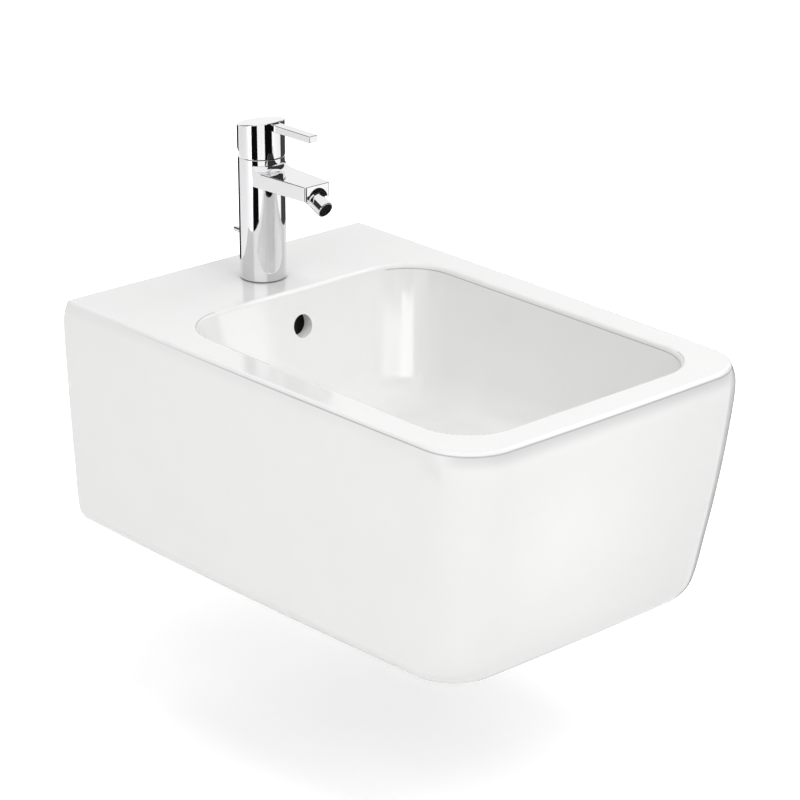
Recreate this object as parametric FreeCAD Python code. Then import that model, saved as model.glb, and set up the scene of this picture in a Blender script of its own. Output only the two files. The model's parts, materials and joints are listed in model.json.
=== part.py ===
import FreeCAD, Part
import math
import os

# Wall-hung bidet with a deck mixer tap and a pop-up waste.
# Millimetres. The origin is midway between the two wall bolts, on the wall face.
# +X is the viewer's right, -Y is the front and +Z is up.

V = FreeCAD.Vector
X_AXIS = V(1, 0, 0)
Y_AXIS = V(0, 1, 0)
Z_AXIS = V(0, 0, 1)

# Clearances
seat_gap = 0.1          # radial room between pieces that are screwed or pushed together
run_gap = 0.05          # radial room of a pin that turns in a hole
free_gap = 0.3          # room between pieces that move past each other

# Ceramic body, outside
width = 370.0
projection = 541.0
height = 232.0
rim_height = 88.0       # rim above the wall bolts
side_lean = 10.0        # each side draws in by this from rim to foot
front_lean = 34.5
lean_power = 1.5
corner_radius = 55.0    # front corners, seen from above
side_bow_rim = 17000.0  # radius of the sides' gentle bow, at the rim and at the foot
side_bow_foot = 7800.0
front_bow = 7000.0
edge_inset = 6.3        # rim edge inside the widest line of the body
edge_depth = 22.0       # widest line below the rim
edge_fillet = 4.0
foot_fillet = 26.0
rear_fillet = 1.5
rear_spare = 5.0        # the form runs on behind the wall face and is cut flat there

# Ceramic body, inside
wall = 14.0
deck = 15.0             # thickness of the top
flange = 16.0           # thickness of the plate that meets the wall
notch_width = 120.0     # opening for pipes in the plate that meets the wall
notch_height = 120.0
notch_radius = 20.0

# Bowl
rim_side = 40.5         # rim beside and in front of the bowl, from the body's widest line
rim_front = 38.5
bowl_rear = 118.5       # from the wall
bowl_depth = 126.0      # at the drain
bowl_draft = 11.5       # degrees
bowl_corner = 50.0
bowl_floor_fillet = 40.0
bowl_tilt = 2.8         # degrees, the floor rises to the front
bowl_shell = 11.0
lip_fillet = 4.5
drain_y = 232.0         # from the wall
dish_radius = 48.0
dish_depth = 4.0
drain_bore = 23.0       # radius
boss_radius = 38.0
boss_length = 42.0

# Overflow
overflow_radius = 11.0
overflow_depth = 35.0   # centre below the rim
channel_width = 44.0
channel_gap = 12.0      # clear depth of the overflow channel
channel_wall = 8.0
channel_head = 15.0     # top of the channel above the middle of the overflow hole

# Wall fixing
bolt_spacing = 180.0
stud_radius = 6.0
sleeve_bore = 6.5
sleeve_wall = 4.4
sleeve_collar = 15.0
sleeve_collar_height = 2.5
sleeve_setback = 0.5    # from the wall
wall_washer_radius = 17.0
wall_washer_height = 2.5
wall_nut_across = 19.0
wall_nut_height = 10.0

# Mixer body, heights above the deck and distances from the tap's axis
tap_y = 67.5            # from the wall
body_radius = 22.1
base_gap = 0.4          # the body stands this far off the deck, on its seal
tap_hole = 17.5         # radius of the hole in the deck
chamber_radius = 17.6
chamber_depth = 35.0    # below the body's top
inlet_x = 8.6
inlet_y = 1.5           # behind the axis
inlet_radius = 4.0
inlet_thread = 4.46     # core radius of the inlet threads
inlet_thread_depth = 14.0
base_seal_radius = 20.3
base_seal_width = 2.0
base_seal_height = 1.6

# Spout
spout_reach = 81.5
spout_tip_width = 30.0
spout_root_width = 40.0
spout_fall = 11.0       # top of the spout below the body's top
spout_thickness = 14.5
spout_cove = 6.0        # hollow where the spout's top meets the body
spout_corner = 2.5
spout_duct = 4.3        # radius
duct_rise = 6.5         # middle of the duct above the spout's underside

# Swivel nozzle, along an axis that drops to the front
nozzle_drop = 25.0      # degrees
nozzle_fall = 2.4       # below the spout's underside, where the axis leaves the spout's front
ball_depth = 10.0       # from there back to the middle of the ball
ball_radius = 9.0
ball_bore = 4.0
socket_radius = 12.5
retainer_start = 0.6    # along the axis from the ball's middle
retainer_end = 5.2
neck_radius = 5.5
sleeve_start = 7.2
sleeve_end = 22.1
sleeve_radius = 8.25
sleeve_shell = 1.1
sleeve_floor = 2.0
aerator_length = 9.6
aerator_recess = 0.6
aerator_hole = 0.6
nozzle_seat_radius = 6.4
nozzle_seat_length = 5.2
nozzle_seat_end = 10.4

# Cartridge
cartridge_radius = 17.3
cartridge_wall = 1.4
cartridge_base_height = 6.0
seal_height = 2.0
port_seal_radius = 6.2
port_seal_bore = 4.2
seal_stand_off = 0.6
disc_thickness = 3.9
fixed_disc_radius = 15.0
moving_disc_radius = 9.8
moving_disc_thickness = 3.0
disc_gap = 0.05
carrier_width = 17.8
carrier_length = 16.0
carrier_height = 6.8
rotor_radius = 15.2
rotor_height = 3.5
rotor_neck_radius = 9.4
rotor_inset = 1.0       # rotor's top below the body's top
rotor_lug = 3.2
rotor_lug_length = 12.0
shoulder_fall = 11.0    # underside of the shoulder below the body's top
shoulder_height = 2.5
collar_radius = 11.6
ring_nut_height = 5.5
cover_height = 4.2
cover_lip = 3.2

# Handle and its stem
pivot_fall = 5.0        # pivot below the body's top
pin_radius = 2.0
pin_length = 17.0
stem_width = 8.0
stem_drop = 4.0         # square part below the pivot
stem_cover = 10.9       # handle above the stem's end
arm_length = 12.5       # from the pivot to the ball that pushes the discs
arm_radius = 2.2
arm_ball = 2.8
lift_range = 25.0       # degrees
handle_radius = 22.5
handle_gap = 1.0
handle_height = 152.6   # on the axis; the mixer's other heights hang from it
handle_length = 31.6    # on the axis
handle_slope = 9.0      # degrees, the top rises to the front
handle_relief = 30.0    # degrees, the underside rises to the rear
handle_wall = 4.2
handle_roof = 10.0
hub_radius = 9.0
hub_rise = 12.0         # hub above the pivot
handle_edge = 1.0
lever_width = 10.0
lever_height = 7.0
lever_rise = 1.9        # lever's top above the handle's top on the axis
lever_reach = 76.5
lever_edge = 0.8
screw_drop = 14.4       # below the handle's top
screw_radius = 2.5
plug_radius = 3.0
plug_thickness = 2.5

# Fixing of the mixer under the deck
tap_stud_radius = 3.0
tap_stud_y = 13.8       # in front of the axis
tap_stud_depth = 14.0   # into the body
tap_stud_length = 62.0  # below the deck's top
crescent_radius = 23.0
crescent_cut = 17.1     # room for two supply hoses and the lift rod
crescent_cut_y = 7.0
crescent_rubber = 3.0
crescent_plate = 2.5
tap_nut_across = 10.0
tap_nut_height = 9.5

# Lift rod of the pop-up waste
rod_y = 12.5            # behind the tap's axis
rod_radius = 2.5
rod_head_radius = 4.3
rod_head_height = 10.0
knob_height = 38.0
knob_root_radius = 3.3
knob_tip_radius = 2.5
knob_tip_y = 41.8
knob_thread = 1.9
lift_travel = 26.0
guide_height = 9.4
clamp_radius = 7.0
clamp_above = 15.0
clamp_below = 7.0
clamp_screw = 2.0

# Pop-up waste, heights from the seat of the drain
drain_seal = 1.0
drain_flange_radius = 31.0
drain_flange_height = 3.0
drain_mouth = 21.5
drain_tube = 20.0
drain_tube_wall = 2.5
drain_cone = 6.0
overflow_slot_width = 20.0
gasket_radius = 33.0
gasket_height = 4.0
slip_washer_height = 1.5
lock_nut_across = 54.0
lock_nut_height = 9.5
waste_top_gap = 1.0
waste_socket = 8.0
waste_floor = 2.0       # wall under the socket
waste_taper = 3.0
waste_outer = 24.0
waste_tube = 21.0
waste_bore = 17.0
pivot_drop = 78.0
waste_below = 20.0      # below the pivot
pivot_arm = 30.0        # from the drain's axis to the pivot ball
pivot_ball = 6.0
pivot_tip = 3.5         # past the drain's axis
pivot_tail = 14.0       # past the lift rod
port_radius = 11.5
port_bore = 8.4
port_length = 8.0       # past the pivot ball
rod_room = 4.7          # radius of the holes that the tilting rod needs
pivot_nut_across = 28.0
pivot_nut_height = 14.0
pivot_nut_cap = 3.0
tail_radius = 16.0
tail_wall = 1.5
spigot_radius = 15.6    # the tail's end in the waste body
spigot_neck = 1.0       # of the spigot that shows
tail_socket = 10.0
tail_length = 67.0      # below the waste body
tail_seal_height = 1.0
tail_funnel = 4.0       # above the tail's top

# Plug
plug_cap_radius = 20.5
plug_cap_edge = 2.0
plug_cap_crown = 2.6
plug_seal_radius = 19.4
plug_seal_height = 2.0
plug_rest_gap = 0.3     # between cap and flange when closed
stem_radius = 4.0
fin_thickness = 1.6
fin_reach = 16.7
fin_top = 14.0
fin_height = 34.0
lug_half = 4.5
lug_below = 6.5


# Worked out from the sizes above

bowl_width = width - 2 * rim_side
bowl_half = bowl_width / 2
bowl_front = projection - rim_front
drain_seat = bowl_depth + dish_depth
rod_from_wall = tap_y - rod_y
pivot_reach = drain_y - pivot_arm - rod_from_wall
pivot_swing = math.degrees(math.atan(lift_travel / 2 / pivot_reach))
plug_travel = pivot_arm * lift_travel / pivot_reach
arm_swing = lift_range / 2
disc_offset = arm_length * math.sin(math.radians(arm_swing))
body_top = handle_height - handle_length - handle_gap
chamber_floor = body_top - chamber_depth
spout_top = body_top - spout_fall
spout_bottom = spout_top - spout_thickness
duct_height = spout_bottom + duct_rise
nozzle_face_z = spout_bottom - nozzle_fall
cartridge_base_top = chamber_floor + cartridge_base_height
rotor_top = body_top - rotor_inset
shoulder_bottom = body_top - shoulder_fall
pivot_height = body_top - pivot_fall
stem_bottom = pivot_height - stem_drop
stem_top = handle_height - stem_cover
hub_bottom = pivot_height + hub_rise
lever_top = handle_height + lever_rise
screw_height = handle_height - screw_drop
nozzle_dir = V(0, -math.cos(math.radians(nozzle_drop)), -math.sin(math.radians(nozzle_drop)))
ball_centre = V(0, -spout_reach, nozzle_face_z) - nozzle_dir * ball_depth


def box(low, high):
    size = V(*high) - V(*low)
    return Part.makeBox(size.x, size.y, size.z, V(*low))


def rod(radius, start, end):
    """A round bar between two points."""
    start, end = V(*start), V(*end)
    return Part.makeCylinder(radius, (end - start).Length, start, end - start)


def upright(radius, bottom, top, x=0.0, y=0.0):
    return Part.makeCylinder(radius, top - bottom, V(x, y, bottom), Z_AXIS)


def ring(outer, inner, bottom, top, x=0.0, y=0.0):
    return upright(outer, bottom, top, x, y).cut(upright(inner, bottom - 1, top + 1, x, y))


def turned(profile):
    """A body turned about the Z axis from (radius, height) points."""
    points = [V(r, 0, z) for r, z in profile]
    face = Part.Face(Part.makePolygon(points + points[:1]))
    return face.revolve(V(0, 0, 0), Z_AXIS, 360)


def hexagon(across, bottom, top):
    corner = across / math.sqrt(3)
    points = [V(corner * math.cos(math.radians(60 * i)), corner * math.sin(math.radians(60 * i)), bottom)
              for i in range(7)]
    return Part.Face(Part.makePolygon(points)).extrude(V(0, 0, top - bottom))


def hex_nut(across, bore, bottom, top):
    """A hexagon nut whose corners are turned off at both ends."""
    corner = across / math.sqrt(3)
    chamfer = corner - across / 2
    blank = turned([(0, bottom), (across / 2, bottom), (corner, bottom + chamfer), (corner, top - chamfer),
                    (across / 2, top), (0, top)])
    return hexagon(across, bottom, top).common(blank).cut(upright(bore, bottom - 1, top + 1))


def along(shape, origin, direction):
    """Turns a shape from the Z axis onto another axis and moves it to a point."""
    placed = shape.copy()
    placed.Placement = FreeCAD.Placement(V(*origin), FreeCAD.Rotation(Z_AXIS, V(*direction))).multiply(
        placed.Placement)
    return placed


def side_prism(points, half):
    """A plate of (y, z) points, as thick as twice half, centred on the middle plane."""
    corners = [V(-half, y, z) for y, z in points]
    return Part.Face(Part.makePolygon(corners + corners[:1])).extrude(V(2 * half, 0, 0))


def rounded_wire(corners, radius, place):
    """A closed outline of (u, v) corners with one corner radius, put into space by place."""
    edges = []
    ends = []
    count = len(corners)
    for i in range(count):
        here = V(corners[i][0], corners[i][1], 0)
        back = V(corners[i - 1][0], corners[i - 1][1], 0) - here
        ahead = V(corners[(i + 1) % count][0], corners[(i + 1) % count][1], 0) - here
        back.normalize()
        ahead.normalize()
        half_angle = back.getAngle(ahead) / 2
        bisector = back + ahead
        bisector.normalize()
        start = here + back * (radius / math.tan(half_angle))
        end = here + ahead * (radius / math.tan(half_angle))
        middle = here + bisector * (radius / math.sin(half_angle) - radius)
        ends.append((start, middle, end))
    for i in range(count):
        start, middle, end = ends[i]
        edges.append(Part.Arc(place(start), place(middle), place(end)).toShape())
        edges.append(Part.LineSegment(place(end), place(ends[(i + 1) % count][0])).toShape())
    return Part.Wire(Part.__sortEdges__(edges))


def tap(shape):
    """Moves a piece from the tap's axis on the deck to its place."""
    placed = shape.copy()
    placed.translate(V(0, -tap_y, rim_height))
    return placed


def waste(shape):
    """Moves a piece from the drain's axis on its seat to its place."""
    placed = shape.copy()
    placed.translate(V(0, -drain_y, rim_height - drain_seat))
    return placed


def nozzle(shape):
    """Moves a piece from the ball's middle, with Z along the jet, to its place on the tap."""
    return tap(along(shape, ball_centre, nozzle_dir))


def save(name, *solids):
    pieces = []
    for shape in solids:
        pieces.extend(shape.removeSplitter().Solids)
    whole = pieces[0] if len(pieces) == 1 else Part.makeCompound(pieces)
    whole.exportStep(os.path.join("parts", name + ".step"))


# Ceramic body

def plan_outline(half, front, corner, side_bow, rear, z):
    """Plan of the body: a straight rear, bowed sides and front, and round front corners."""
    side_centre = V(half - side_bow, 0, z)
    front_centre = V(0, front + front_bow, z)
    to_side = side_bow - corner
    to_front = front_bow - corner
    span = front_centre - side_centre
    along_span = (to_side ** 2 - to_front ** 2 + span.Length ** 2) / (2 * span.Length)
    off_span = math.sqrt(to_side ** 2 - along_span ** 2)
    unit = V(span.x, span.y, 0)
    unit.normalize()
    corner_centre = side_centre + unit * along_span + V(unit.y, -unit.x, 0) * off_span
    side_end = side_centre + (corner_centre - side_centre) * (side_bow / to_side)
    front_end = front_centre + (corner_centre - front_centre) * (front_bow / to_front)
    turn = (side_end - corner_centre) + (front_end - corner_centre)
    turn.normalize()
    corner_middle = corner_centre + turn * corner
    side_start = V(side_centre.x + math.sqrt(side_bow ** 2 - rear ** 2), -rear, z)
    middle_y = (side_end.y - rear) / 2
    side_middle = V(side_centre.x + math.sqrt(side_bow ** 2 - middle_y ** 2), middle_y, z)

    def mirror(point):
        return V(-point.x, point.y, point.z)

    edges = [
        Part.LineSegment(mirror(side_start), side_start),
        Part.Arc(side_start, side_middle, side_end),
        Part.Arc(side_end, corner_middle, front_end),
        Part.Arc(front_end, V(0, front, z), mirror(front_end)),
        Part.Arc(mirror(front_end), mirror(corner_middle), mirror(side_end)),
        Part.Arc(mirror(side_end), mirror(side_middle), mirror(side_start)),
    ]
    return Part.Wire([edge.toShape() for edge in edges])


def body_section(depth, inset, rear):
    """Outline of the body at a depth below the rim, drawn in by an inset."""
    lean = (depth / height) ** lean_power
    side_bow = 1 / ((1 - lean) / side_bow_rim + lean / side_bow_foot)
    drawn = inset + edge_inset * max(0.0, 1 - depth / edge_depth) ** 2
    return plan_outline(width / 2 - side_lean * lean - drawn, -projection + front_lean * lean + drawn,
                        corner_radius - drawn, side_bow, rear, rim_height - depth)


def outer_form():
    straight = height - foot_fillet
    sections = [(edge_depth * i / 4, 0.0) for i in range(4)]
    sections += [(edge_depth + (straight - edge_depth) * i / 6, 0.0) for i in range(7)]
    for degrees in (15, 30, 45, 60, 75, 90):
        turn = math.radians(degrees)
        sections.append((straight + foot_fillet * math.sin(turn), foot_fillet * (1 - math.cos(turn))))
    outlines = [body_section(depth, inset, -rear_spare) for depth, inset in sections]
    form = Part.makeLoft(outlines, True, False)
    rim_edges = [e for e in form.Edges
                 if e.BoundBox.ZMin > rim_height - 0.01 and e.BoundBox.YMin < -1]
    form = form.makeFillet(edge_fillet, rim_edges)
    form = form.cut(box((-width, 0, rim_height - height - 1), (width, rear_spare + 1, rim_height + 1)))
    round_y, round_z = -rear_fillet, rim_height - rear_fillet
    corner = box((-width, round_y, round_z), (width, 1, rim_height + 1))
    return form.cut(corner.cut(rod(rear_fillet, (-width, round_y, round_z), (width, round_y, round_z))))


def hollow_form():
    """Room inside the skirt, from under the deck to below the foot."""
    depths = [deck, height * 0.35, height * 0.65, height + wall]
    return Part.makeLoft([body_section(d, wall, flange) for d in depths], True, True)


def bowl_form(grow):
    """The bowl's hollow, or its shell where grow is the shell's thickness."""
    draw_in = bowl_depth * math.tan(math.radians(bowl_draft))
    half, rear, front = bowl_half + grow, bowl_rear - grow, bowl_front + grow
    above = 5.0
    flare = above * math.tan(math.radians(bowl_draft))

    def outline(inset, z):
        sides = [(-half + inset, -rear - inset), (-half + inset, -front + inset),
                 (half - inset, -front + inset), (half - inset, -rear - inset)]
        return rounded_wire(sides, bowl_corner + grow, lambda p: V(p.x, p.y, z))

    top = outline(-flare, rim_height + above)
    floor_z = rim_height - bowl_depth - grow
    floor = outline(draw_in, floor_z)
    floor.rotate(V(0, -drain_y, floor_z), X_AXIS, -bowl_tilt)
    form = Part.makeLoft([top, floor], True, True)
    limit = floor_z + bowl_front * math.tan(math.radians(bowl_tilt))
    edges = [e for e in form.Edges if e.BoundBox.ZMax < limit]
    return form.makeFillet(bowl_floor_fillet + grow, edges)


def channel_form(grow):
    """The overflow channel behind and below the bowl, or its shell where grow is the shell's thickness."""
    slope = math.tan(math.radians(bowl_draft))
    head = overflow_depth - channel_head - grow
    inner = bowl_rear - bowl_shell
    low = drain_seat + bowl_shell + channel_gap + grow

    def rear_face(depth):
        return -(inner + depth * slope) + channel_gap + grow

    points = [(-(inner + head * slope) - bowl_shell, rim_height - head),
              (rear_face(head), rim_height - head),
              (rear_face(low), rim_height - low),
              (-drain_y, rim_height - low),
              (-drain_y, rim_height - bowl_depth)]
    return side_prism(points, channel_width / 2 + grow)


def ceramic_body():
    body = outer_form().cut(bowl_form(0.0))
    lip = []
    for e in body.Edges:
        box_e = e.BoundBox
        flat_top = box_e.ZMin > rim_height - 0.01
        in_width = box_e.XMax < bowl_half + 1 and box_e.XMin > -bowl_half - 1
        if flat_top and in_width and box_e.YMax < -bowl_rear + 1:
            lip.append(e)
    body = body.makeFillet(lip_fillet, lip)

    seat_z = rim_height - drain_seat
    boss = upright(boss_radius, seat_z - boss_length, rim_height - bowl_depth, 0, -drain_y)
    hollow = hollow_form().cut(bowl_form(bowl_shell)).cut(channel_form(channel_wall)).cut(boss)
    body = body.cut(hollow)

    channel = channel_form(0.0).cut(bowl_form(bowl_shell)).cut(boss)
    recess = upright(drain_flange_radius + 1, seat_z, seat_z + 2 * dish_depth, 0, -drain_y)
    dish = Part.makeCone(drain_flange_radius + 3, dish_radius, dish_depth / 2,
                         V(0, -drain_y, seat_z + dish_depth / 2 + 0.1), Z_AXIS)
    dish.rotate(V(0, -drain_y, rim_height - bowl_depth), X_AXIS, -bowl_tilt)
    bore = upright(drain_bore, seat_z - boss_length - 1, seat_z + 1, 0, -drain_y)
    duct_low = drain_seat + bowl_shell + channel_gap
    duct = box((-channel_width / 2, -drain_y, rim_height - duct_low),
               (channel_width / 2, -drain_y + boss_radius + 1, rim_height - duct_low + channel_gap))
    overflow_z = rim_height - overflow_depth
    hole = rod(overflow_radius, (0, -bowl_rear - bowl_shell, overflow_z),
               (0, -bowl_rear + channel_gap, overflow_z))
    tap_bore = upright(tap_hole, rim_height - deck - 1, rim_height + 1, 0, -tap_y)
    for cutter in (channel, recess, dish, bore, duct, hole, tap_bore):
        body = body.cut(cutter)

    half = notch_width / 2
    top = rim_height - notch_height
    low = rim_height - height - notch_radius - 1
    outline = rounded_wire([(-half, low), (half, low), (half, top), (-half, top)], notch_radius,
                           lambda p: V(p.x, -flange - 1, p.y))
    body = body.cut(Part.Face(outline).extrude(V(0, flange + 2, 0)))
    for x in (-bolt_spacing / 2, bolt_spacing / 2):
        body = body.cut(rod(sleeve_bore + sleeve_wall + seat_gap, (x, -flange - 1, 0), (x, 1, 0)))
    return body


def wall_fixing():
    """Sleeves, washers and nuts on the two wall bolts."""
    sides = (-bolt_spacing / 2, bolt_spacing / 2)
    collar = flange + sleeve_collar_height
    washer = collar + wall_washer_height
    sleeve = ring(sleeve_bore + sleeve_wall, sleeve_bore, sleeve_setback, flange)
    sleeve = sleeve.fuse(ring(sleeve_collar, sleeve_bore, flange, collar))
    plate = ring(wall_washer_radius, sleeve_bore, collar, washer)
    nut = hex_nut(wall_nut_across, stud_radius + seat_gap, washer, washer + wall_nut_height)
    for name, shape in (("wall_sleeves", sleeve), ("wall_washers", plate), ("wall_nuts", nut)):
        save(name, *[along(shape, (x, 0, 0), (0, -1, 0)) for x in sides])


# Mixer body

def spout_plan(bottom, top):
    root, tip = spout_root_width / 2, spout_tip_width / 2
    points = [V(-root, 0, bottom), V(-tip, -spout_reach, bottom),
              V(tip, -spout_reach, bottom), V(root, 0, bottom)]
    return Part.Face(Part.makePolygon(points + points[:1])).extrude(V(0, 0, top - bottom))


def spout_form():
    block = spout_plan(spout_bottom, spout_top)
    corners = [e for e in block.Edges if e.BoundBox.ZLength > 1 and e.BoundBox.YMax < -1]
    block = block.makeFillet(spout_corner, corners)
    middle = (spout_bottom + spout_top) / 2
    rims = [e for e in block.Edges if e.BoundBox.ZLength < 0.01 and e.BoundBox.YMin < -1]
    block = block.makeFillet(lever_edge, rims)
    cove = ring(body_radius + spout_cove, body_radius - 1, spout_top - lever_edge, spout_top + spout_cove)
    round_off = Part.makeTorus(body_radius + spout_cove, spout_cove, V(0, 0, spout_top + spout_cove), Z_AXIS)
    cove = cove.cut(round_off)
    inset = spout_plan(middle, spout_top + spout_cove).common(cove)
    return block.fuse(inset)


def mixer_body():
    shell = upright(body_radius, base_gap, body_top)
    rims = [e for e in shell.Edges if e.BoundBox.ZLength < 0.01]
    shell = shell.makeFillet(base_gap, rims)
    body = shell.fuse(spout_form())
    cuts = [upright(chamber_radius, chamber_floor, body_top + 1)]
    for x in (-inlet_x, inlet_x):
        cuts.append(upright(inlet_radius, 0, chamber_floor + 1, x, inlet_y))
        cuts.append(upright(inlet_thread, 0, base_gap + inlet_thread_depth, x, inlet_y))
    cuts.append(upright(tap_stud_radius + seat_gap, 0, base_gap + tap_stud_depth, 0, -tap_stud_y))
    bore = rod_head_radius + free_gap
    bore_top = knob_height + lift_travel + rod_head_height / 2 + 3
    cuts.append(upright(bore, 0, bore_top, 0, rod_y))
    slot = knob_root_radius + free_gap + seat_gap
    cuts.append(box((-slot, rod_y, knob_height), (slot, body_radius + 1, knob_height + lift_travel)))
    for z in (knob_height, knob_height + lift_travel):
        cuts.append(rod(slot, (0, rod_y, z), (0, body_radius + 1, z)))
    seal_inner = base_seal_radius - base_seal_width
    cuts.append(ring(base_seal_radius + seat_gap, seal_inner - seat_gap, 0, base_seal_height))
    room = ball_radius + free_gap
    cuts.append(Part.makeSphere(room, ball_centre))
    cuts.append(along(upright(socket_radius, retainer_start - seat_gap, sleeve_end), ball_centre, nozzle_dir))
    seat_room = upright(nozzle_seat_radius + free_gap, -nozzle_seat_end - free_gap, 0)
    cuts.append(along(seat_room, ball_centre, nozzle_dir))
    duct_end = ball_centre - nozzle_dir * nozzle_seat_end
    cuts.append(rod(spout_duct, (0, -chamber_radius + 1, duct_height), duct_end))
    for cutter in cuts:
        body = body.cut(cutter)
    return body


def tap_fixing():
    """Seal, stud, crescent washers and nut that hold the mixer to the deck."""
    save("base_seal", tap(ring(base_seal_radius, base_seal_radius - base_seal_width, 0, base_seal_height)))
    stud = upright(tap_stud_radius, -tap_stud_length, base_gap + tap_stud_depth - 1, 0, -tap_stud_y)
    save("tap_stud", tap(stud))

    def crescent(bottom, top):
        plate = upright(crescent_radius, bottom, top)
        plate = plate.cut(upright(crescent_cut, bottom - 1, top + 1, 0, crescent_cut_y))
        plate = plate.cut(box((-crescent_cut, crescent_cut_y, bottom - 1),
                              (crescent_cut, crescent_radius + 1, top + 1)))
        return plate.cut(upright(tap_stud_radius + seat_gap, bottom - 1, top + 1, 0, -tap_stud_y))

    rubber = -deck - crescent_rubber
    steel = rubber - crescent_plate
    save("crescent_rubber", tap(crescent(rubber, -deck)))
    save("crescent_plate", tap(crescent(steel, rubber)))
    nut = hex_nut(tap_nut_across, tap_stud_radius + seat_gap, steel - tap_nut_height, steel)
    nut.translate(V(0, -tap_stud_y, 0))
    save("tap_nut", tap(nut))


# Cartridge

disc_bottom = cartridge_base_top
disc_top = disc_bottom + disc_thickness
slider_bottom = disc_top + disc_gap
carrier_bottom = slider_bottom + moving_disc_thickness
carrier_top = carrier_bottom + carrier_height
rotor_bottom = shoulder_bottom - free_gap - rotor_height
collar_top = shoulder_bottom + shoulder_height + ring_nut_height
outlet_y = 7.0
outlet_radius = 3.4


def arm_end(radius):
    swing = math.radians(arm_swing)
    return V(0, radius * math.sin(swing), pivot_height - radius * math.cos(swing))


def cartridge():
    base = upright(cartridge_radius, chamber_floor + seal_stand_off, cartridge_base_top)
    for x in (-inlet_x, inlet_x):
        base = base.cut(upright(port_seal_radius + seat_gap, 0, chamber_floor + seal_height, x, inlet_y))
        base = base.cut(upright(inlet_radius, 0, cartridge_base_top + 1, x, inlet_y))
    channel_floor = chamber_floor + seal_height + seal_stand_off
    base = base.cut(upright(outlet_radius, channel_floor, cartridge_base_top + 1, 0, -outlet_y))
    base = base.cut(box((-outlet_radius, -cartridge_radius - 1, channel_floor),
                        (outlet_radius, -outlet_y, cartridge_base_top - 1)))
    save("cartridge_base", tap(base))
    seals = [ring(port_seal_radius, port_seal_bore, chamber_floor, chamber_floor + seal_height, x, inlet_y)
             for x in (-inlet_x, inlet_x)]
    save("port_seals", *[tap(seal) for seal in seals])

    fixed = upright(fixed_disc_radius, disc_bottom, disc_top)
    for x in (-inlet_x, inlet_x):
        fixed = fixed.cut(upright(inlet_radius - 1, 0, disc_top + 1, x, inlet_y))
    fixed = fixed.cut(upright(outlet_radius, 0, disc_top + 1, 0, -outlet_y))
    save("fixed_disc", tap(fixed))

    slider = upright(moving_disc_radius, slider_bottom, carrier_bottom, 0, disc_offset)
    recess_top = slider_bottom + moving_disc_thickness / 2
    recess = upright(moving_disc_radius / 2, slider_bottom, recess_top, 0, disc_offset)
    save("moving_disc", tap(slider.cut(recess)))
    carrier = box((-carrier_width / 2, disc_offset - carrier_length / 2, carrier_bottom),
                  (carrier_width / 2, disc_offset + carrier_length / 2, carrier_top))
    pocket = arm_ball + free_gap
    carrier = carrier.cut(box((-pocket, disc_offset - pocket, arm_end(arm_length).z - pocket),
                              (pocket, disc_offset + pocket, carrier_top + 1)))
    save("disc_carrier", tap(carrier))

    rotor = upright(rotor_radius, rotor_bottom, rotor_bottom + rotor_height)
    rotor = rotor.fuse(upright(rotor_neck_radius, rotor_bottom, rotor_top))
    lug_inner = carrier_width / 2 + free_gap
    for side in (-1, 1):
        low, high = sorted((side * lug_inner, side * (lug_inner + rotor_lug)))
        rotor = rotor.fuse(box((low, -rotor_lug_length / 2, carrier_bottom + 1),
                               (high, rotor_lug_length / 2, rotor_bottom)))
    half = stem_width / 2
    swing = math.radians(lift_range)
    behind = half * math.cos(swing) + (rotor_top - pivot_height + half) * math.sin(swing) + free_gap
    ahead = half * (math.cos(swing) + math.sin(swing)) + free_gap
    rotor = rotor.cut(box((-half - free_gap, -ahead, rotor_bottom - 1),
                          (half + free_gap, behind, rotor_top + 1)))
    pin_line = ((-pin_length / 2, 0, pivot_height), (pin_length / 2, 0, pivot_height))
    save("rotor", tap(rotor.cut(rod(pin_radius + run_gap, *pin_line))))
    save("pivot_pin", tap(rod(pin_radius, *pin_line)))

    inside = cartridge_radius - cartridge_wall
    neck_bore = rotor_neck_radius + free_gap
    housing = turned([(inside, cartridge_base_top), (cartridge_radius, cartridge_base_top),
                      (cartridge_radius, shoulder_bottom + shoulder_height),
                      (collar_radius, shoulder_bottom + shoulder_height), (collar_radius, collar_top),
                      (neck_bore, collar_top), (neck_bore, shoulder_bottom), (inside, shoulder_bottom)])
    save("cartridge_housing", tap(housing))

    nut_bottom = shoulder_bottom + shoulder_height
    nut = ring(chamber_radius - seat_gap, collar_radius + seat_gap, nut_bottom, collar_top)
    notch = box((-1.5, -chamber_radius, collar_top - 2), (1.5, chamber_radius, collar_top + 1))
    for turn in (0, 90):
        cutter = notch.copy()
        cutter.rotate(V(0, 0, 0), Z_AXIS, turn)
        nut = nut.cut(cutter)
    save("cartridge_nut", tap(nut))

    lip = chamber_radius - seat_gap
    cover_top = collar_top + cover_height
    cover_bore = collar_radius + 0.5
    cover = turned([(cover_bore, collar_top), (lip, collar_top), (lip, body_top),
                    (lip - cover_lip, cover_top), (cover_bore, cover_top)])
    save("cover_ring", tap(cover))


# Handle

def stem():
    half = stem_width / 2
    bar = box((-half, -half, stem_bottom), (half, half, stem_top))
    arm = rod(arm_radius, arm_end(0.0), arm_end(arm_length))
    bar = bar.fuse(arm).fuse(Part.makeSphere(arm_ball, arm_end(arm_length)))
    return bar.cut(rod(pin_radius + run_gap, (-stem_width, 0, pivot_height), (stem_width, 0, pivot_height)))


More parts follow.
